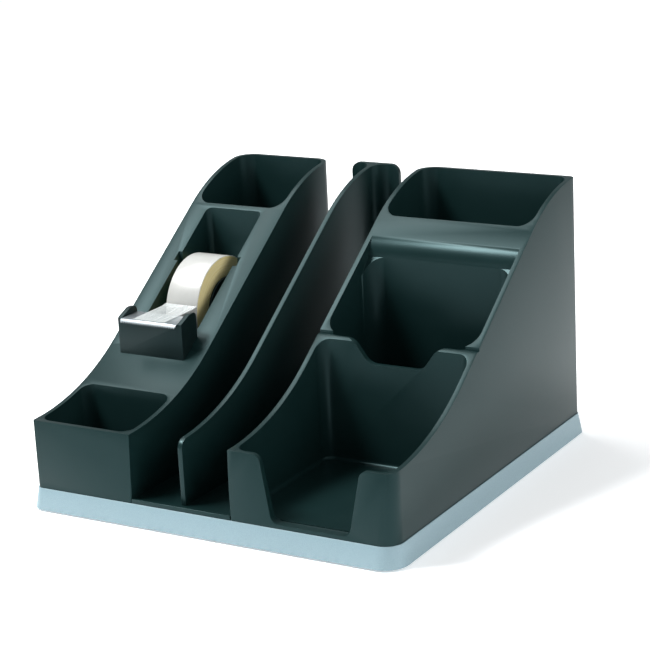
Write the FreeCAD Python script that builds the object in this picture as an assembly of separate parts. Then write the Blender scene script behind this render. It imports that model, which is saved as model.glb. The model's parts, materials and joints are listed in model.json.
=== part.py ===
import FreeCAD, Part
import math
import os

# Desk organizer: a tape module on the left, two slots for flat cases with a
# divider, and a memo and cup module on the right, screwed to one silver plinth.
# Lengths are millimetres. Nodes are built with x from the body's left side,
# y from its front and z from the desk, and are centred when they are saved.

# Body
body_depth = 202.8
front_height = 45.5
rear_height = 136.6
front_lean = 1.6
ramp_straight = 93.5
front_sweep_part = 0.573
wall = 2.4
floor_thickness = 2.4
front_left_radius = 3.5
front_right_radius = 9.0
rear_left_radius = 10.0
rear_right_radius = 4.0
slot_side_radius = 1.2
slot_side_rear_radius = 10.0
least_inner_radius = 0.5

# Widths, from left to right
left_module_width = 57.0
left_slot_width = 26.0
divider_thickness = 2.4
right_slot_width = 27.0
right_module_width = 86.4

# Plinth, feet and screws
plinth_top = 11.5
plinth_wall = 3.2
plinth_floor = 2.4
plinth_flare = 2.0
plinth_ledge = 0.4
foot_height = 1.0
foot_radius = 7.0
foot_recess = 1.0
foot_edge_distance = 15.0
screw_radius = 1.5
screw_clearance = 0.05
screw_head_radius = 2.9
screw_head_height = 1.8
screw_length = 8.0
screw_pad_height = 2.0
boss_radius = 4.2
pilot_skin = 0.8
screw_cross_width = 0.8
screw_cross_skin = 1.0
screw_edge_distance = 14.0
screw_front_distance = 26.0
screw_rear_distance = 28.0

# Left module: bin, tape well and pen cup
bin_rear = 42.5
compartment_corner = 6.0
compartment_bottom_radius = 2.0
compartment_flat = 0.2
well_width = 34.0
well_centre = 28.0
well_front = 80.0
well_rear = 148.2
well_floor = 44.5
well_corner = 3.0
pen_cup_front = 150.6

# Right module: tray, pocket and cup
tray_rear = 85.2
pocket_front = 88.2
pocket_rear = 135.8
pocket_floor = 26.0
pocket_corner = 9.0
crest_radius = 12.0
scissors_cup_front = 152.2
cutout_bottom_width = 41.0
cutout_top_width = 53.0
cutout_radius = 4.5
cutout_lip = 2.0
notch_bottom_width = 29.0
notch_top_width = 46.0
notch_height = 65.3
notch_radius = 7.5

# Slots
slot_floor_thickness = 1.6
slot_lip_height = 0.6
slot_lip_depth = 1.6
slot_corner_clearance = 0.1
divider_setback = 4.0
divider_front_radius = 5.0
divider_return = 13.0
divider_bend = 8.0
divider_top_radius = 5.0
tab_length = 18.0
tab_clearance = 0.15
tab_front = 40.0
tab_rear = 150.0

# Tape: axle, drum, core, roll and tail
axle_y = 119.5
axle_z = 74.4
axle_radius = 2.4
axle_end_play = 0.3
axle_chamfer = 0.5
groove_depth = 2.2
groove_clearance = 0.1
cheek_thickness = 2.2
cheek_width = 14.0
tape_width = 19.0
tape_radius = 26.8
core_radius = 14.6
drum_radius = 12.7
drum_clearance = 0.05
drum_side_play = 0.6
drum_rim = 2.0
drum_hub_radius = 4.4
drum_web = 2.0
drum_flange_radius = 16.2
drum_flange = 1.4
running_clearance = 0.08
tail_thickness = 0.3
tail_gap = 0.25
tail_front = 64.2

# Cutter
cutter_width = 38.4
cutter_front = 64.6
cutter_depth = 13.6
cutter_plate_rise = 7.9
cutter_ear = 2.4
cutter_ear_rise = 3.8
cutter_ear_slope = 8.0
cutter_ear_radius = 2.4
cutter_wall = 2.0
cutter_peg_radius = 0.8
cutter_peg_length = 4.5
cutter_peg_clearance = 0.1
cutter_seat_gap = 0.05
blade_thickness = 0.5
blade_side_gap = 0.2
blade_overhang = 1.0
blade_lip = 2.3
blade_lip_angle = 55.0
blade_tooth_pitch = 1.4
blade_tooth_depth = 1.0

# Modelling aids: room above the body for cuts, how near an edge must lie to be picked,
# and how far a shape is carried into its neighbour before it is trimmed
headroom = 20.0
edge_tolerance = 0.01
carry = 2.0

# Derived places
left_slot_start = left_module_width
divider_start = left_slot_start + left_slot_width
right_slot_start = divider_start + divider_thickness
right_module_start = right_slot_start + right_slot_width
body_width = right_module_start + right_module_width
compartment_floor = plinth_top + floor_thickness
slot_floor_top = plinth_top + slot_floor_thickness
plinth_bottom = foot_height
pad_top = plinth_bottom + plinth_floor + screw_pad_height
high = rear_height + headroom

# The side profile: a hollow arc, a straight ramp and a full arc, all tangent.
sweep_run = body_depth - front_lean
half_tangent = (rear_height - front_height) / (sweep_run + ramp_straight)
ramp_angle = 2 * math.atan(half_tangent)
radius_sum = (sweep_run * (1 + half_tangent ** 2) - ramp_straight * (1 - half_tangent ** 2))
radius_sum = radius_sum / (2 * half_tangent)
front_arc = front_sweep_part * radius_sum
rear_arc = radius_sum - front_arc


def sweep_height(y):
    """Height of the side profile at a distance y from the front."""
    run = y - front_lean
    if run <= front_arc * math.sin(ramp_angle):
        return front_height + front_arc - math.sqrt(front_arc ** 2 - run ** 2)
    to_rear = body_depth - y
    if to_rear <= rear_arc * math.sin(ramp_angle):
        return rear_height - rear_arc + math.sqrt(rear_arc ** 2 - to_rear ** 2)
    start = front_arc * math.sin(ramp_angle)
    start_height = front_height + front_arc * (1 - math.cos(ramp_angle))
    return start_height + (run - start) * math.tan(ramp_angle)


def in_yz(u, v):
    return FreeCAD.Vector(0, u, v)


def in_xz(u, v):
    return FreeCAD.Vector(u, 0, v)


def in_xy(u, v):
    return FreeCAD.Vector(u, v, 0)


def rounded_face(corners, place):
    """Face with straight sides; each corner is (u, v, radius)."""
    rounds = []
    count = len(corners)
    for index, (u, v, radius) in enumerate(corners):
        here = FreeCAD.Vector(u, v, 0)
        before = FreeCAD.Vector(corners[index - 1][0], corners[index - 1][1], 0)
        after = FreeCAD.Vector(corners[(index + 1) % count][0], corners[(index + 1) % count][1], 0)
        if radius == 0:
            rounds.append((here, None, here))
            continue
        back = (before - here).normalize()
        ahead = (after - here).normalize()
        half = back.getAngle(ahead) / 2
        reach = radius / math.tan(half)
        middle = here + (back + ahead).normalize() * (radius / math.sin(half) - radius)
        rounds.append((here + back * reach, middle, here + ahead * reach))
    edges = []
    for index, (start, middle, end) in enumerate(rounds):
        leave = rounds[index - 1][2]
        if (start - leave).Length > 1e-6:
            edges.append(Part.LineSegment(place(leave.x, leave.y), place(start.x, start.y)).toShape())
        if middle is not None:
            arc = Part.Arc(place(start.x, start.y), place(middle.x, middle.y), place(end.x, end.y))
            edges.append(arc.toShape())
    return Part.Face(Part.Wire(edges))


def block(x, y, z):
    """Box from three (low, high) pairs."""
    corner = FreeCAD.Vector(x[0], y[0], z[0])
    return Part.makeBox(x[1] - x[0], y[1] - y[0], z[1] - z[0], corner)


def upright(radius, x, y, z):
    """Vertical cylinder between two heights."""
    return Part.makeCylinder(radius, z[1] - z[0], FreeCAD.Vector(x, y, z[0]))


def across(radius, x, y, z):
    """Cylinder along x between two x values."""
    return Part.makeCylinder(radius, x[1] - x[0], FreeCAD.Vector(x[0], y, z), FreeCAD.Vector(1, 0, 0))


def sweep_prism(x, inset, bottom):
    """Everything under the side profile, lowered by inset, between two x values."""
    shift = inset * math.tan(ramp_angle / 2)
    front_turn = front_lean + front_arc * math.tan(ramp_angle / 2) + shift
    rear_turn = body_depth - rear_arc * math.tan(ramp_angle / 2) + shift
    corners = [
        (0, bottom, 0),
        (front_lean, front_height - inset, 0),
        (front_turn, front_height - inset, front_arc + inset),
        (rear_turn, rear_height - inset, rear_arc - inset),
        (body_depth, rear_height - inset, 0),
        (body_depth, bottom, 0),
    ]
    face = rounded_face(corners, in_yz)
    face.translate(FreeCAD.Vector(x[0], 0, 0))
    return face.extrude(FreeCAD.Vector(x[1] - x[0], 0, 0))


def plan_face(x, radii, grow):
    """Outline in plan of a module or of the body; radii run from front left round to rear left."""
    corners = [
        (x[0] - grow, -grow, radii[0] + grow),
        (x[1] + grow, -grow, radii[1] + grow),
        (x[1] + grow, body_depth + grow, radii[2] + grow),
        (x[0] - grow, body_depth + grow, radii[3] + grow),
    ]
    return rounded_face(corners, in_xy)


def plan_prism(x, radii, grow, z):
    face = plan_face(x, radii, grow)
    face.translate(FreeCAD.Vector(0, 0, z[0]))
    return face.extrude(FreeCAD.Vector(0, 0, z[1] - z[0]))


def hollow(x, y, floor, corner, grow):
    """The inside of a compartment, open upwards, or its outside when grown by its wall."""
    narrow = min(x[1] - x[0], y[1] - y[0])
    corner = min(corner, (narrow - compartment_flat) / 2)
    x = (x[0] - grow, x[1] + grow)
    y = (y[0] - grow, y[1] + grow)
    shape = block(x, y, (floor - grow, high))
    uprights = [edge for edge in shape.Edges if edge.BoundBox.ZLength > 1]
    shape = shape.makeFillet(corner + grow, uprights)
    base = [edge for edge in shape.Edges if edge.BoundBox.ZMax < floor - grow + edge_tolerance]
    return shape.makeFillet(compartment_bottom_radius, base)


def bosses(places, top):
    """Screw bosses that reach down from a moulding to the plinth's pads."""
    return [upright(boss_radius, x, y, (pad_top, top)) for x, y in places]


def pilots(places, top):
    """The holes that the screws go into."""
    return [upright(screw_radius + screw_clearance, x, y, (0, top)) for x, y in places]


def module_shell(x, radii, compartments, solid_blocks, screws):
    """A moulded module: compartments hang in a thin shell that is open underneath."""
    outer = sweep_prism(x, 0, plinth_top).common(plan_prism(x, radii, 0, (plinth_top, high)))
    inner_radii = [max(radius, wall + least_inner_radius) for radius in radii]
    void = sweep_prism(x, wall, plinth_top - 1)
    void = void.common(plan_prism(x, inner_radii, -wall, (0, high)))
    void = void.cut(Part.makeCompound([hollow(*each, wall) for each in compartments]))
    for solid_block in solid_blocks:
        void = void.cut(solid_block)
    shell = outer.cut(void)
    under_profile = sweep_prism(x, 0, 0)
    for boss in bosses(screws, high):
        shell = shell.fuse(boss.common(under_profile))
    shell = shell.cut(Part.makeCompound([hollow(*each, 0) for each in compartments]))
    return shell.cut(Part.makeCompound(pilots(screws, compartment_floor - pilot_skin))).removeSplitter()


left_x = (0, left_module_width)
right_x = (right_module_start, body_width)
left_inside = (left_x[0] + wall, left_x[1] - wall)
right_inside = (right_x[0] + wall, right_x[1] - wall)
compartment_front = front_lean + wall
compartment_rear = body_depth - wall
cup_corner = slot_side_rear_radius - wall
screw_rows = (screw_front_distance, body_depth - screw_rear_distance)
body_radii = (front_left_radius, front_right_radius, rear_right_radius, rear_left_radius)
left_radii = (front_left_radius, slot_side_radius, slot_side_rear_radius, rear_left_radius)
right_radii = (slot_side_radius, front_right_radius, rear_right_radius, slot_side_rear_radius)

# Screw places
left_screws = [(x, y) for x in (left_x[0] + screw_edge_distance, left_x[1] - screw_edge_distance)
               for y in screw_rows]
right_screws = [(x, y) for x in (right_x[0] + screw_edge_distance, right_x[1] - screw_edge_distance)
                for y in screw_rows]
slot_screws = [(left_slot_start + left_slot_width / 2, body_depth / 2),
               (right_slot_start + right_slot_width / 2, body_depth / 2)]
all_screws = left_screws + right_screws + slot_screws

# Cutter and axle places that the left module's holes follow
cutter_plate_z = sweep_height(well_front) + cutter_plate_rise
cutter_left = well_centre - cutter_width / 2
cutter_right = well_centre + cutter_width / 2
cutter_rear = cutter_front + cutter_depth
peg_y = cutter_front + cutter_depth / 2
peg_places = [(cutter_left + cutter_ear / 2, peg_y), (cutter_right - cutter_ear / 2, peg_y)]
well_x = (well_centre - well_width / 2, well_centre + well_width / 2)
groove_x = (well_x[0] - groove_depth, well_x[1] + groove_depth)


def left_module():
    compartments = [
        (left_inside, (compartment_front, bin_rear), compartment_floor, compartment_corner),
        (well_x, (well_front, well_rear), well_floor, well_corner),
        (left_inside, (pen_cup_front, compartment_rear), compartment_floor, cup_corner),
    ]
    cheeks = block((groove_x[0] - cheek_thickness, groove_x[1] + cheek_thickness),
                   (axle_y - cheek_width / 2, axle_y + cheek_width / 2),
                   (axle_z - cheek_width / 2, high))
    shell = module_shell(left_x, left_radii, compartments, [cheeks], left_screws)
    groove_radius = axle_radius + groove_clearance
    shell = shell.cut(across(groove_radius, groove_x, axle_y, axle_z))
    shell = shell.cut(block(groove_x, (axle_y - groove_radius, axle_y + groove_radius), (axle_z, high)))
    for x, y in peg_places:
        shell = shell.cut(upright(cutter_peg_radius + cutter_peg_clearance, x, y, (plinth_top, high)))
    return shell


def gap_outline(centre, bottom_width, top_width, bottom, rim, radius, place):
    """A notch with slanted sides and four rounded corners, widening to a level far above the rim."""
    half_bottom = bottom_width / 2
    half_top = top_width / 2
    far = half_top + 3 * radius
    corners = [
        (centre - half_bottom, bottom, radius),
        (centre + half_bottom, bottom, radius),
        (centre + half_top, rim, radius),
        (centre + far, rim, 0),
        (centre + far, high, 0),
        (centre - far, high, 0),
        (centre - far, rim, 0),
        (centre - half_top, rim, radius),
    ]
    return rounded_face(corners, place)


def right_module():
    compartments = [
        (right_inside, (compartment_front, tray_rear), compartment_floor, compartment_corner),
        (right_inside, (pocket_front, pocket_rear), pocket_floor, pocket_corner),
        (right_inside, (scissors_cup_front, compartment_rear), compartment_floor, cup_corner),
    ]
    shell = module_shell(right_x, right_radii, compartments, crest_corners(), right_screws)
    centre = (right_x[0] + right_x[1]) / 2
    cutout = gap_outline(centre, cutout_bottom_width, cutout_top_width, plinth_top + cutout_lip,
                         front_height, cutout_radius, in_xz)
    cutout.translate(FreeCAD.Vector(0, -1, 0))
    shell = shell.cut(cutout.extrude(FreeCAD.Vector(0, 1 + compartment_front + 1, 0)))
    shoulder = sweep_height((tray_rear + pocket_front) / 2)
    notch = gap_outline(centre, notch_bottom_width, notch_top_width, notch_height,
                        shoulder, notch_radius, in_xz)
    notch.translate(FreeCAD.Vector(0, tray_rear - 1, 0))
    shell = shell.cut(notch.extrude(FreeCAD.Vector(0, pocket_front - tray_rear + 2, 0)))
    return shell.cut(crest_cutter())


crest_reach = crest_radius * math.tan(math.pi / 4 - ramp_angle / 2)
crest_rim = sweep_height(pocket_rear)
crest_low = crest_rim - crest_reach
crest_run = pocket_corner + 1


def crest_corners():
    """Solid corners at the pocket's rear, so that the rounded rim doesn't open the shell."""
    y = (pocket_rear - crest_run, pocket_rear + wall)
    z = (crest_low - crest_run - wall, high)
    reach = pocket_corner + wall
    return [block((right_inside[0], right_inside[0] + reach), y, z),
            block((right_inside[1] - reach, right_inside[1]), y, z)]


def crest_cutter():
    """What rounds the pocket's rear rim; in front it slopes down and runs the corners out."""
    top = (pocket_rear + crest_reach * math.cos(ramp_angle), crest_rim + crest_reach * math.sin(ramp_angle))
    lean = math.pi / 4 + ramp_angle / 2
    to_arc = crest_radius / math.sin(lean) - crest_radius
    bisector = (math.cos(math.pi / 4 - ramp_angle / 2), math.sin(math.pi / 4 - ramp_angle / 2))
    middle = (pocket_rear + to_arc * bisector[0], crest_rim - to_arc * bisector[1])
    front = pocket_rear - crest_run
    above = crest_rim + crest_radius
    outline = [in_yz(*top), in_yz(top[0], above), in_yz(front, above),
               in_yz(front, crest_low - crest_run), in_yz(pocket_rear, crest_low)]
    edges = [Part.LineSegment(start, end).toShape() for start, end in zip(outline, outline[1:])]
    edges.append(Part.Arc(outline[-1], in_yz(*middle), outline[0]).toShape())
    face = Part.Face(Part.Wire(edges))
    face.translate(FreeCAD.Vector(right_inside[0], 0, 0))
    return face.extrude(FreeCAD.Vector(right_inside[1] - right_inside[0], 0, 0))


def tab_blocks(clearance, z):
    x = (divider_start - clearance, divider_start + divider_thickness + clearance)
    return [block(x, (y - clearance, y + tab_length + clearance), z) for y in (tab_front, tab_rear)]


def slot_floor_corners(x):
    """The floor's rear strip, which fills the gaps beside the modules' rounded rear corners."""
    strip = block((x[0] - slot_side_rear_radius, x[1] + slot_side_rear_radius),
                  (body_depth - slot_side_rear_radius, body_depth), (plinth_top, slot_floor_top))
    for module_x, radii in ((left_x, left_radii), (right_x, right_radii)):
        strip = strip.cut(plan_prism(module_x, radii, slot_corner_clearance, (0, high)))
    return strip


def slot_floor():
    x = (left_slot_start, right_module_start)
    plate = block(x, (0, body_depth), (plinth_top, slot_floor_top))
    lip = block(x, (0, slot_lip_depth), (slot_floor_top, slot_floor_top + slot_lip_height))
    plate = plate.fuse(lip).fuse(slot_floor_corners(x))
    for boss in bosses(slot_screws, plinth_top + slot_floor_thickness / 2):
        plate = plate.fuse(boss)
    plate = plate.cut(Part.makeCompound(pilots(slot_screws, plinth_top + slot_floor_thickness / 2)))
    return plate.cut(Part.makeCompound(tab_blocks(tab_clearance, (0, high)))).removeSplitter()


def slot_divider():
    """An upright plate that turns both ways at the rear into a stop for the cases."""
    left = divider_start
    right = divider_start + divider_thickness
    inner_rear = body_depth - divider_thickness
    corners = [
        (left, divider_setback, 0),
        (right, divider_setback, 0),
        (right, inner_rear, divider_bend),
        (right + divider_return, inner_rear, 0),
        (right + divider_return, body_depth, 0),
        (left - divider_return, body_depth, 0),
        (left - divider_return, inner_rear, 0),
        (left, inner_rear, divider_bend),
    ]
    face = rounded_face(corners, in_xy)
    face.translate(FreeCAD.Vector(0, 0, slot_floor_top))
    plate = face.extrude(FreeCAD.Vector(0, 0, high))
    reach = (left - divider_return - 1, right + divider_return + 1)
    plate = plate.common(sweep_prism(reach, 0, plinth_top))
    front_corner = [edge for edge in plate.Edges
                    if edge.BoundBox.YMax < divider_setback + edge_tolerance
                    and edge.BoundBox.ZMin > slot_floor_top + 1]
    plate = plate.makeFillet(divider_front_radius, front_corner)
    outer_x = (left - divider_return, right + divider_return)
    rear_corners = [edge for edge in plate.Edges
                    if edge.BoundBox.ZMin > slot_floor_top + 1 and edge.BoundBox.XLength < edge_tolerance
                    and min(abs(edge.BoundBox.XMin - x) for x in outer_x) < edge_tolerance
                    and edge.BoundBox.YLength > divider_thickness - 0.1]
    plate = plate.makeFillet(divider_top_radius, rear_corners)
    for tab in tab_blocks(0, (plinth_top, slot_floor_top)):
        plate = plate.fuse(tab)
    return plate.removeSplitter()


foot_x = (foot_edge_distance, body_width - foot_edge_distance)
foot_y = (foot_edge_distance, body_depth - foot_edge_distance)


def base_plinth():
    top = plan_face((0, body_width), body_radii, plinth_ledge)
    top.translate(FreeCAD.Vector(0, 0, plinth_top))
    bottom = plan_face((0, body_width), body_radii, plinth_ledge + plinth_flare)
    bottom.translate(FreeCAD.Vector(0, 0, plinth_bottom))
    tray = Part.makeLoft([bottom.OuterWire, top.OuterWire], True, True)
    cavity_radii = [max(radius, plinth_wall + least_inner_radius) for radius in body_radii]
    cavity = plan_prism((0, body_width), cavity_radii, -plinth_wall,
                        (plinth_bottom + plinth_floor, plinth_top + 1))
    tray = tray.cut(cavity)
    for x, y in all_screws:
        tray = tray.fuse(upright(boss_radius, x, y, (plinth_bottom, pad_top)))
    for x, y in all_screws:
        tray = tray.cut(upright(screw_radius + screw_clearance, x, y, (0, high)))
        tray = tray.cut(upright(screw_head_radius + 4 * screw_clearance, x, y,
                                (0, plinth_bottom + plinth_floor)))
    for x in foot_x:
        for y in foot_y:
            tray = tray.cut(upright(foot_radius, x, y, (0, plinth_bottom + foot_recess)))
    return tray.removeSplitter()


def rubber_foot(x, y):
    foot = upright(foot_radius, x, y, (0, plinth_bottom + foot_recess))
    rim = [edge for edge in foot.Edges if edge.BoundBox.ZMax < edge_tolerance]
    return foot.makeFillet(foot_height / 2, rim)


def base_screws():
    """Pan-head screws that come up through the plinth's pads into the bosses."""
    head_top = plinth_bottom + plinth_floor
    screws = []
    for x, y in all_screws:
        head = upright(screw_head_radius, x, y, (head_top - screw_head_height, head_top))
        rim_height = head_top - screw_head_height + edge_tolerance
        rim = [edge for edge in head.Edges if edge.BoundBox.ZMax < rim_height]
        head = head.makeFillet(screw_head_height / 3, rim)
        shank = upright(screw_radius, x, y, (head_top, head_top + screw_length))
        cross_z = (0, head_top - screw_cross_skin)
        half = screw_cross_width / 2
        cross = block((x - screw_radius, x + screw_radius), (y - half, y + half), cross_z)
        cross = cross.fuse(block((x - half, x + half), (y - screw_radius, y + screw_radius), cross_z))
        screws.append(head.fuse(shank).cut(cross).removeSplitter())
    return Part.makeCompound(screws)


def cutter_head():
    """The blade's holder: a hollow block on the ramp with an ear at each side."""
    ear_top = cutter_plate_z + cutter_ear_rise
    low = sweep_height(cutter_front) - carry
    corners = [
        (cutter_front, low, 0),
        (cutter_rear, low, 0),
        (cutter_rear, ear_top, cutter_ear_radius),
        (cutter_front + cutter_ear_slope, ear_top, cutter_ear_radius),
        (cutter_front, cutter_plate_z + blade_thickness, 0),
    ]
    side = rounded_face(corners, in_yz)
    side.translate(FreeCAD.Vector(cutter_left, 0, 0))
    head = side.extrude(FreeCAD.Vector(cutter_width, 0, 0))
    between = (cutter_left + cutter_ear, cutter_right - cutter_ear)
    head = head.cut(block(between, (cutter_front - 1, cutter_rear + 1), (cutter_plate_z, high)))
    inside = (cutter_front + cutter_wall, cutter_rear - cutter_wall)
    head = head.cut(block(between, inside, (0, cutter_plate_z - cutter_wall)))
    head = head.cut(sweep_prism((cutter_left - 1, cutter_right + 1), -cutter_seat_gap, 0))
    for x, y in peg_places:
        ramp = sweep_height(y)
        head = head.fuse(upright(cutter_peg_radius, x, y, (ramp - cutter_peg_length, ramp + carry)))
    return head.removeSplitter()


def cutter_blade():
    """Steel plate between the ears with a bent lip and a row of teeth."""
    x = (cutter_left + cutter_ear + blade_side_gap, cutter_right - cutter_ear - blade_side_gap)
    front = cutter_front - blade_overhang
    top = cutter_plate_z + blade_thickness
    plate = block(x, (front, cutter_rear - blade_side_gap), (cutter_plate_z, top))
    teeth = int((x[1] - x[0]) / blade_tooth_pitch)
    pitch = (x[1] - x[0]) / teeth
    valley = front - blade_lip + blade_tooth_depth
    points = [in_xy(x[1], front), in_xy(x[0], front), in_xy(x[0], valley)]
    for tooth in range(teeth):
        points.append(in_xy(x[0] + (tooth + 0.5) * pitch, front - blade_lip))
        points.append(in_xy(x[0] + (tooth + 1) * pitch, valley))
    points.append(points[0])
    lip = Part.Face(Part.makePolygon(points))
    lip.translate(FreeCAD.Vector(0, 0, cutter_plate_z))
    lip = lip.extrude(FreeCAD.Vector(0, 0, blade_thickness))
    lip.rotate(FreeCAD.Vector(0, front, top), FreeCAD.Vector(1, 0, 0), blade_lip_angle)
    return plate.fuse(lip).removeSplitter()


def tape_axle():
    x = (groove_x[0] + axle_end_play, groove_x[1] - axle_end_play)
    axle = across(axle_radius, x, axle_y, axle_z)
    ends = [edge for edge in axle.Edges if edge.BoundBox.XLength < edge_tolerance]
    return axle.makeChamfer(axle_chamfer, ends)


tape_x = (well_centre - tape_width / 2, well_centre + tape_width / 2)


def tube(outer, inner, x):
    return across(outer, x, axle_y, axle_z).cut(across(inner, (x[0] - 1, x[1] + 1), axle_y, axle_z))


def hub_drum():
    """Turns on the axle; a web joins its rim and hub, and a flange stops the core."""
    bore = axle_radius + running_clearance
    rim_x = (tape_x[0], tape_x[1] + drum_flange)
    hub_x = (well_x[0] + drum_side_play, well_x[1] - drum_side_play)
    drum = tube(drum_radius, drum_radius - drum_rim, rim_x)
    drum = drum.fuse(tube(drum_hub_radius, bore, hub_x))
    web_x = (well_centre - drum_web / 2, well_centre + drum_web / 2)
    drum = drum.fuse(tube(drum_radius - drum_rim / 2, bore, web_x))
    flange_x = (tape_x[1] + drum_clearance, tape_x[1] + drum_flange)
    drum = drum.fuse(tube(drum_flange_radius, drum_radius - drum_rim, flange_x))
    return drum.removeSplitter()


def tape_core():
    return tube(core_radius, drum_radius + drum_clearance, tape_x)


def tape_roll():
    return tube(tape_radius, core_radius + drum_clearance, tape_x)


def tape_tail():
    """The free end: it peels off the front of the roll and lies over the blade."""
    bottom = cutter_plate_z + blade_thickness + tail_gap
    rise = bottom - axle_z
    rear = axle_y - math.sqrt((tape_radius + tail_gap) ** 2 - rise ** 2)
    return block(tape_x, (tail_front, rear), (bottom, bottom + tail_thickness))


nodes = {
    "left_module": left_module(),
    "right_module": right_module(),
    "slot_floor": slot_floor(),
    "slot_divider": slot_divider(),
    "base_plinth": base_plinth(),
    "base_screws": base_screws(),
    "cutter_head": cutter_head(),
    "cutter_blade": cutter_blade(),
    "tape_axle": tape_axle(),
    "hub_drum": hub_drum(),
    "tape_core": tape_core(),
    "tape_roll": tape_roll(),
    "tape_tail": tape_tail(),
}
for side, x in zip(("left", "right"), foot_x):
    for end, y in zip(("front", "rear"), foot_y):
        nodes["foot_" + end + "_" + side] = rubber_foot(x, y)

os.makedirs("parts", exist_ok=True)
to_centre = FreeCAD.Vector(-body_width / 2, -body_depth / 2, 0)
for name, shape in nodes.items():
    placed = shape.copy()
    placed.translate(to_centre)
    placed.exportStep("parts/" + name + ".step")
    size = placed.BoundBox
    print(name, len(placed.Solids), placed.isValid(), round(placed.Volume), size)
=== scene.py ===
import bpy
import json
import math
from mathutils import Euler, Matrix, Vector


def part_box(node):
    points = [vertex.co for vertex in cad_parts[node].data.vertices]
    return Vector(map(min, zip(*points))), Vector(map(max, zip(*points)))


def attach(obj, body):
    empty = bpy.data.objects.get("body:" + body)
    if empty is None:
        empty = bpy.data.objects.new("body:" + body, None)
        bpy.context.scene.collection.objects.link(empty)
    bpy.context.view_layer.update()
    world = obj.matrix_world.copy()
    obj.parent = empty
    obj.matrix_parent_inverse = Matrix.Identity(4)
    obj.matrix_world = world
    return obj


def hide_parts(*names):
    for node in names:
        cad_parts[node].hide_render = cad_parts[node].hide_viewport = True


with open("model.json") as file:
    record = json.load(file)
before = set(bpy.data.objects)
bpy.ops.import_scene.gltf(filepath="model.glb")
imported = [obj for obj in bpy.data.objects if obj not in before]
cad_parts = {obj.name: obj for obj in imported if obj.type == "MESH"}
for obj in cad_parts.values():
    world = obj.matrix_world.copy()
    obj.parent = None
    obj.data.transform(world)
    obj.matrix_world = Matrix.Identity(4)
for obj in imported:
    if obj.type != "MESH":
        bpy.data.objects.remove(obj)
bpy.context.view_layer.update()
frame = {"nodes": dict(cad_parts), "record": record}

print("frame loaded,", len(frame["nodes"]), "nodes")


class Wire:
    # one output socket or number; sums and products of it add Math nodes

    def __init__(self, graph, socket):
        self.graph = graph
        self.socket = socket

    def join(self, operation, a, b):
        return self.graph.node("ShaderNodeMath", {"operation": operation}, {0: a, 1: b})["Value"]

    def __add__(self, other):
        return self.join("ADD", self, other)

    def __radd__(self, other):
        return self.join("ADD", other, self)

    def __sub__(self, other):
        return self.join("SUBTRACT", self, other)

    def __rsub__(self, other):
        return self.join("SUBTRACT", other, self)

    def __mul__(self, other):
        return self.join("MULTIPLY", self, other)

    def __rmul__(self, other):
        return self.join("MULTIPLY", other, self)

    def __pow__(self, other):
        return self.join("POWER", self, other)

    def __gt__(self, other):
        return self.join("GREATER_THAN", self, other)


class Graph:
    # a material's node tree and the short ways to fill it

    def __init__(self, name):
        self.material = bpy.data.materials.new(name)
        self.material.use_nodes = True
        self.tree = self.material.node_tree
        self.shader = self.tree.nodes["Principled BSDF"]
        self.place = self.node("ShaderNodeTexCoord")["Object"]

    def node(self, kind, settings=None, inputs=None):
        made = self.tree.nodes.new(kind)
        for key, value in (settings or {}).items():
            if key == "stops":
                self.fillRamp(made.color_ramp, value)
            else:
                setattr(made, key, value)
        for key, value in (inputs or {}).items():
            self.feed(made.inputs[key], value)
        return {out.name: Wire(self, out) for out in made.outputs if out.enabled}

    def fillRamp(self, ramp, stops):
        while len(ramp.elements) < len(stops):
            ramp.elements.new(0.5)
        for element, (position, colour) in zip(ramp.elements, stops):
            element.position = position
            element.color = (*colour, 1)

    def feed(self, socket, value):
        if isinstance(value, Wire):
            self.tree.links.new(value.socket, socket)
        elif socket.type == "RGBA":
            socket.default_value = (*value, 1)
        else:
            socket.default_value = value

    def set(self, **values):
        # underscores in a key stand for the spaces in the socket's name
        for key, value in values.items():
            self.feed(self.shader.inputs[key.replace("_", " ")], value)

    def noise(self, scale, detail=3, roughness=0.5, stretch=(1, 1, 1)):
        place = self.node("ShaderNodeMapping", {}, {"Vector": self.place, "Scale": stretch})["Vector"]
        inputs = {"Vector": place, "Scale": scale, "Detail": detail, "Roughness": roughness}
        return self.node("ShaderNodeTexNoise", {}, inputs)["Fac"]

    def ramp(self, factor, *stops):
        return self.node("ShaderNodeValToRGB", {"stops": stops}, {"Fac": factor})["Color"]

    def mix(self, factor, a, b):
        inputs = {0: factor, 6: a, 7: b}
        made = self.node("ShaderNodeMix", {"data_type": "RGBA"}, inputs)
        return made["Result"]

    def limit(self, value, low, high):
        inputs = {"Value": value, "From Min": low, "From Max": high}
        return self.node("ShaderNodeMapRange", {}, inputs)["Result"]

    def bump(self, height, strength, distance):
        inputs = {"Height": height, "Strength": strength, "Distance": distance}
        return self.node("ShaderNodeBump", {}, inputs)["Normal"]


# the third colour, lighter than dark and light, is a painted edge highlight for the bevelled rims
slatePlastic = {"dark": (0.003, 0.012, 0.012), "light": (0.006, 0.018, 0.018),
                "rimHighlight": (0.020, 0.034, 0.035),
                "sheen": (0.50, 0.84, 0.88), "roughness": 0.34, "grain": 2600, "cloud": 40, "ior": 1.34}


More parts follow.
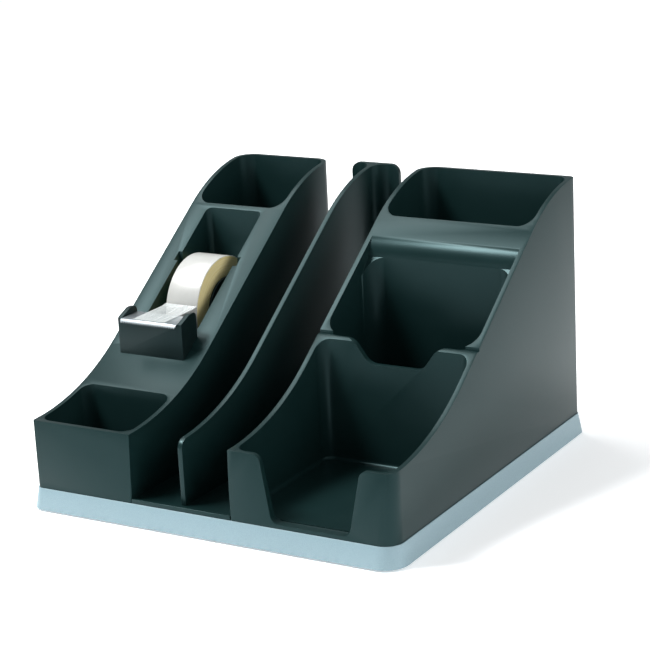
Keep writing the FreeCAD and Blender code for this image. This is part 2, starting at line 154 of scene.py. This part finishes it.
def makeSlatePlastic(name="slatePlastic", look=slatePlastic):
    # moulded satin plastic with a fine spark-eroded grain; its rounded rims get a painted highlight in a
    # separate material
    graph = Graph(name)
    cloud = graph.noise(look["cloud"], 4, 0.6)
    grain = graph.noise(look["grain"], 2, 0.6)
    flow = graph.noise(14, 2, 0.5, (1.6, 1.6, 0.12))
    scuffs = graph.limit(graph.noise(420, 5, 0.7, (1, 0.25, 1)), 0.60, 0.74)
    colour = graph.mix(cloud, look["dark"], look["light"])
    graph.set(Base_Color=colour, IOR=look["ior"], Specular_Tint=look["sheen"])
    graph.set(Roughness=look["roughness"] + (cloud - 0.5) * 0.03 + (flow - 0.5) * 0.05 + scuffs * 0.04)
    graph.set(Normal=graph.bump(grain + flow * 0.2 - scuffs * 0.15, 0.14, 0.00006))
    return graph.material


def makePaintedRimHighlight(name, look):
    # the same plastic on the rounded rims, painted lighter as an edge highlight and mottled by noise
    graph = Graph(name)
    rimMottle = graph.noise(180, 4, 0.6)
    colour = graph.mix(graph.limit(rimMottle, 0.35, 0.7), look["light"], look["rimHighlight"])
    graph.set(Base_Color=colour, IOR=look["ior"] + 0.06, Specular_Tint=look["sheen"])
    graph.set(Roughness=look["roughness"] - 0.06 + (rimMottle - 0.5) * 0.12)
    graph.set(Normal=graph.bump(rimMottle, 0.05, 0.00005))
    return graph.material


silverPaint = {"dark": (0.19, 0.28, 0.32), "light": (0.24, 0.35, 0.39), "roughness": 0.42, "flake": 5200}


def makeSilverPaint(look=silverPaint):
    # satin silver with a faint metal flake
    graph = Graph("silverPaint")
    flake = graph.noise(look["flake"], 1, 0.5)
    cloud = graph.noise(18, 3, 0.6)
    colour = graph.mix(graph.limit(flake, 0.35, 0.65), look["dark"], look["light"])
    colour = graph.mix((cloud - 0.5) * 0.3, colour, look["light"])
    graph.set(Base_Color=colour, Metallic=0.1, Coat_Weight=0.15, Coat_Roughness=0.25)
    graph.set(Roughness=look["roughness"] + (flake - 0.5) * 0.15 + (cloud - 0.5) * 0.08)
    graph.set(Normal=graph.bump(flake, 0.10, 0.00004))
    return graph.material


bladeSteel = {"colour": (0.40, 0.44, 0.46), "spot": (0.42, 0.47, 0.50), "roughness": 0.38}


def makeSteel(name="bladeSteel", look=bladeSteel):
    # rolled sheet steel: fine lines along its width
    graph = Graph(name)
    lines = graph.noise(900, 4, 0.7, (0.04, 1, 1))
    spots = graph.noise(60, 4, 0.6)
    colour = graph.mix(graph.limit(spots, 0.35, 0.7), look["colour"], look["spot"])
    graph.set(Base_Color=colour, Metallic=1.0)
    graph.set(Roughness=look["roughness"] + (lines - 0.5) * 0.2 + (spots - 0.5) * 0.1)
    graph.set(Normal=graph.bump(lines, 0.2, 0.00005))
    return graph.material


tapeFilm = {"axis": (-0.0714, 0.0181, 0.0744), "radius": 0.0268,
            "face": (0.42, 0.425, 0.41), "faceDark": (0.38, 0.385, 0.37),
            "side": (0.60, 0.48, 0.17), "sideLight": (0.72, 0.65, 0.40)}


def makeTapeFilm(look=tapeFilm):
    # milky film: white on the wound face, honey coloured where the layers show
    graph = Graph("tapeFilm")
    shift = tuple(-value for value in look["axis"])
    centred = graph.node("ShaderNodeMapping", {}, {"Vector": graph.place, "Location": shift})["Vector"]
    part = graph.node("ShaderNodeSeparateXYZ", {}, {"Vector": centred})
    radius = (part["Y"] * part["Y"] + part["Z"] * part["Z"]) ** 0.5
    onSide = 1 - (radius > look["radius"] - 0.0003)
    rings = graph.node("ShaderNodeTexNoise", {"noise_dimensions": "1D"},
                       {"W": radius, "Scale": 2600, "Detail": 3})["Fac"]
    cloud = graph.noise(90, 4, 0.6)
    side = graph.mix(graph.limit(rings, 0.3, 0.7), look["side"], look["sideLight"])
    face = graph.mix(graph.limit(cloud, 0.35, 0.7), look["faceDark"], look["face"])
    graph.set(Base_Color=graph.mix(onSide, face, side))
    graph.set(Roughness=0.30 + onSide * 0.12 + (cloud - 0.5) * 0.12, Coat_Weight=0.2)
    graph.set(Subsurface_Weight=0.12, Subsurface_Radius=(0.004, 0.004, 0.003), Subsurface_Scale=0.5)
    graph.set(Normal=graph.bump(rings * onSide + cloud * 0.3, 0.25, 0.00008))
    return graph.material


tailFilm = {"colour": (0.58, 0.63, 0.63), "crease": (0.68, 0.71, 0.70), "alpha": 0.42}


def makeTailFilm(look=tailFilm):
    # one layer of the film over the blade, so the steel shows through
    graph = Graph("tailFilm")
    creases = graph.noise(120, 3, 0.5, (3, 0.6, 1))
    graph.set(Base_Color=graph.mix(creases, look["colour"], look["crease"]), Coat_Weight=0.1)
    graph.set(Alpha=look["alpha"] + (creases - 0.5) * 0.3, Roughness=0.26 + (creases - 0.5) * 0.15)
    graph.set(Normal=graph.bump(creases, 0.3, 0.0002))
    return graph.material


def makeCardboard():
    # the tape's core: pale board with fibres round it
    graph = Graph("coreBoard")
    fibres = graph.noise(700, 5, 0.7, (0.2, 1, 1))
    graph.set(Base_Color=graph.mix(fibres, (0.58, 0.50, 0.34), (0.78, 0.72, 0.58)))
    graph.set(Roughness=0.75 + (fibres - 0.5) * 0.2, Normal=graph.bump(fibres, 0.4, 0.0001))
    return graph.material


def makeRubber():
    # soft black feet, slightly dusty
    graph = Graph("footRubber")
    dust = graph.noise(160, 5, 0.7)
    graph.set(Base_Color=graph.mix(graph.limit(dust, 0.5, 0.75), (0.012, 0.012, 0.013), (0.05, 0.05, 0.05)))
    graph.set(Roughness=0.78 + (dust - 0.5) * 0.2, Normal=graph.bump(dust, 0.35, 0.0001))
    return graph.material


screwSteel = dict(bladeSteel, colour=(0.50, 0.51, 0.52), roughness=0.34)
cutterLook = dict(slatePlastic, dark=(0.002, 0.006, 0.006), light=(0.004, 0.009, 0.009), roughness=0.40)
hubLook = dict(slatePlastic, dark=(0.004, 0.008, 0.008), light=(0.008, 0.013, 0.013), roughness=0.42)
finishes = {
    "slate_plastic": makeSlatePlastic(),
    "silver_plastic": makeSilverPaint(),
    "cutter_plastic": makeSlatePlastic("cutterPlastic", cutterLook),
    "blade_steel": makeSteel(),
    "screw_steel": makeSteel("screwSteel", screwSteel),
    "hub_plastic": makeSlatePlastic("hubPlastic", hubLook),
    "core_card": makeCardboard(),
    "tape_film": makeTapeFilm(),
    "foot_rubber": makeRubber(),
}
# rim materials: painted edge highlights on the bevelled rims
rims = {
    "slate_plastic": makePaintedRimHighlight("slateRim", slatePlastic),
    "cutter_plastic": makePaintedRimHighlight("cutterRim", cutterLook),
    "hub_plastic": makePaintedRimHighlight("hubRim", hubLook),
}
tailMaterial = makeTailFilm()
print("materials made")


slotOf = {entry["node"]: entry["material_slot"] for entry in frame["record"]["subparts"]}
bodyOf = {node: body for body, members in frame["record"]["behaviour"]["bodies"].items() for node in members}


def selectOnly(piece):
    bpy.ops.object.select_all(action="DESELECT")
    piece.select_set(True)
    bpy.context.view_layer.objects.active = piece


def finishPiece(piece, name, node, material=None):
    # name it, give it its finish and let it ride in the node's place
    piece.name = name
    piece.data.name = name
    if not (slotOf[node] in rims and len(piece.data.materials) == 2):
        dressPiece(piece, node, material)
    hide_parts(node)
    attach(piece, bodyOf[node])


def dressPiece(piece, node, material):
    piece.data.materials.clear()
    piece.data.materials.append(material or finishes[slotOf[node]])
    if slotOf[node] in rims:
        piece.data.materials.append(rims[slotOf[node]])


rounding = {"weld": 0.000005, "flat": 0.6, "segments": 3, "corner": 35, "smooth": 28}


def softCopy(node, name, radius, look=rounding):
    # a copy of a moulding with its rims and corners rounded; angles are in degrees
    source = frame["nodes"][node]
    mesh = source.data.copy()
    piece = bpy.data.objects.new(name, mesh)
    bpy.context.scene.collection.objects.link(piece)
    selectOnly(piece)
    bpy.ops.object.mode_set(mode="EDIT")
    bpy.ops.mesh.select_all(action="SELECT")
    bpy.ops.mesh.remove_doubles(threshold=look["weld"])
    bpy.ops.mesh.dissolve_limited(angle_limit=math.radians(look["flat"]))
    bpy.ops.mesh.select_all(action="DESELECT")
    bpy.ops.object.mode_set(mode="OBJECT")
    bevel = piece.modifiers.new("rims", "BEVEL")
    bevel.width = radius
    bevel.segments = look["segments"]
    bevel.limit_method = "ANGLE"
    bevel.angle_limit = math.radians(look["corner"])
    bevel.use_clamp_overlap = True
    if slotOf[node] in rims:
        mesh.materials.clear()
        mesh.materials.append(finishes[slotOf[node]])
        mesh.materials.append(rims[slotOf[node]])
        # the bevel faces take the rim material, which paints a highlight along every rounded edge
        bevel.material = 1
    bpy.ops.object.modifier_apply(modifier="rims")
    bpy.ops.object.shade_smooth_by_angle(angle=math.radians(look["smooth"]))
    finishPiece(piece, name, node)
    return piece


mouldings = {
    "left_module": ("leftModule", 0.0007),
    "right_module": ("rightModule", 0.0007),
    "slot_floor": ("slotFloor", 0.0003),
    "slot_divider": ("slotDivider", 0.0008),
    "base_plinth": ("basePlinth", 0.0006),
    "cutter_head": ("cutterHead", 0.0005),
    "cutter_blade": ("cutterBlade", 0.00008),
    "tape_axle": ("tapeAxle", 0.0001),
    "hub_drum": ("hubDrum", 0.0003),
    "tape_core": ("tapeCore", 0.0002),
    "tape_roll": ("tapeRoll", 0.0004),
}
for node, (name, radius) in mouldings.items():
    softCopy(node, name, radius)
print("mouldings rounded")

for node, cadPiece in frame["nodes"].items():
    if node in mouldings or node == "tape_tail":
        continue
    cadPiece.data.materials.clear()
    cadPiece.data.materials.append(finishes[slotOf[node]])


tail = {"thickness": 0.00012, "steps": 24, "lift": 0.0006, "humpStart": 0.45, "dip": 0.4,
        "curl": 0.0048, "curlStart": 0.9, "smooth": 40}


def buildTail():
    # a ribbon that leaves the roll in a small bend and lies down on the blade
    low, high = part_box("tape_tail")
    length = high[1] - low[1]
    bpy.ops.object.select_all(action="DESELECT")
    middle = [(a + b) / 2 for a, b in zip(low, high)]
    bpy.ops.mesh.primitive_plane_add(size=1, location=middle)
    ribbon = bpy.context.object
    ribbon.scale = (high[0] - low[0], length, 1)
    bpy.ops.object.transform_apply(location=True, rotation=True, scale=True)
    bpy.ops.object.mode_set(mode="EDIT")
    bpy.ops.mesh.select_all(action="SELECT")
    bpy.ops.mesh.subdivide(number_cuts=tail["steps"])
    bpy.ops.mesh.select_all(action="DESELECT")
    bpy.ops.object.mode_set(mode="OBJECT")
    for point in ribbon.data.vertices:
        along = (point.co.y - low[1]) / length
        across = (point.co.x - middle[0]) / (high[0] - low[0])
        hump = math.sin(math.pi * max(0.0, along - tail["humpStart"]) / (1 - tail["humpStart"]))
        point.co.z = low[2] + tail["thickness"] - tail["lift"] * hump * tail["dip"]
        point.co.z += tail["curl"] * max(0.0, along - tail["curlStart"])
        point.co.z += tail["lift"] * hump * across * across
    thick = ribbon.modifiers.new("film", "SOLIDIFY")
    thick.thickness = tail["thickness"]
    selectOnly(ribbon)
    bpy.ops.object.modifier_apply(modifier="film")
    bpy.ops.object.shade_smooth_by_angle(angle=math.radians(tail["smooth"]))
    finishPiece(ribbon, "tapeTail", "tape_tail", tailMaterial)


buildTail()
print("tape tail laid")


studio = {"floor": (0.93, 0.94, 0.95), "floorLight": (0.96, 0.965, 0.97), "floorSize": 12,
          "sky": (0.95, 0.98, 1), "floorGlow": 0.32, "world": 0.38, "key": 16, "fill": 0.1,
          "land": 9, "crest": 52}


def buildFloor():
    bpy.ops.object.select_all(action="DESELECT")
    bpy.ops.mesh.primitive_plane_add(size=studio["floorSize"], location=(0, 0, 0))
    floor = bpy.context.object
    floor.name = "studioFloor"
    graph = Graph("floorPaper")
    grain = graph.noise(300, 3, 0.5)
    graph.set(Base_Color=graph.mix(grain, studio["floor"], studio["floorLight"]), Roughness=0.9)
    graph.set(Emission_Color=(1, 1, 1), Emission_Strength=studio["floorGlow"])
    graph.set(Normal=graph.bump(grain, 0.05, 0.0001))
    floor.data.materials.append(graph.material)


def addLight(name, place, size, power, target=(0, 0, 0.06)):
    light = bpy.data.lights.new(name, "AREA")
    light.shape = "RECTANGLE"
    light.size = size[0]
    light.size_y = size[1]
    light.energy = power
    holder = bpy.data.objects.new(name, light)
    holder.location = place
    aim = Vector(target) - Vector(place)
    holder.rotation_euler = aim.to_track_quat("-Z", "Y").to_euler()
    bpy.context.scene.collection.objects.link(holder)


camera = {"place": (0.5221, -0.8497, 0.3676), "yaw": 31.15, "pitch": 16.31, "roll": -2.98, "lens": 116.0}


def buildCamera():
    data = bpy.data.cameras.new("studioCamera")
    data.lens = camera["lens"]
    data.sensor_width = 36
    data.clip_start = 0.01
    holder = bpy.data.objects.new("studioCamera", data)
    tilt = Euler((math.radians(90 - camera["pitch"]), 0, math.radians(camera["yaw"])))
    turn = tilt.to_matrix() @ Matrix.Rotation(math.radians(camera["roll"]), 3, "Z")
    holder.matrix_world = Matrix.Translation(camera["place"]) @ turn.to_4x4()
    bpy.context.scene.collection.objects.link(holder)
    bpy.context.scene.camera = holder


buildFloor()
addLight("keyLight", (1.6, 0.0, 0.85), (1.2, 1.0), studio["key"])
addLight("frontLight", (-0.6, -1.6, 1.3), (1.6, 1.0), studio["fill"])
addLight("crestLight", (-0.95, -0.55, 1.55), (0.75, 0.42), studio["crest"], (0.05, 0.04, 0.11))
addLight("landLight", (-0.72, 0.22, 1.4), (0.8, 0.7), studio["land"])
world = bpy.data.worlds.new("studioWorld")
world.use_nodes = True
world.node_tree.nodes["Background"].inputs["Color"].default_value = (*studio["sky"], 1)
world.node_tree.nodes["Background"].inputs["Strength"].default_value = studio["world"]
bpy.context.scene.world = world
bpy.context.scene.view_settings.view_transform = "Standard"
buildCamera()
print("studio ready")
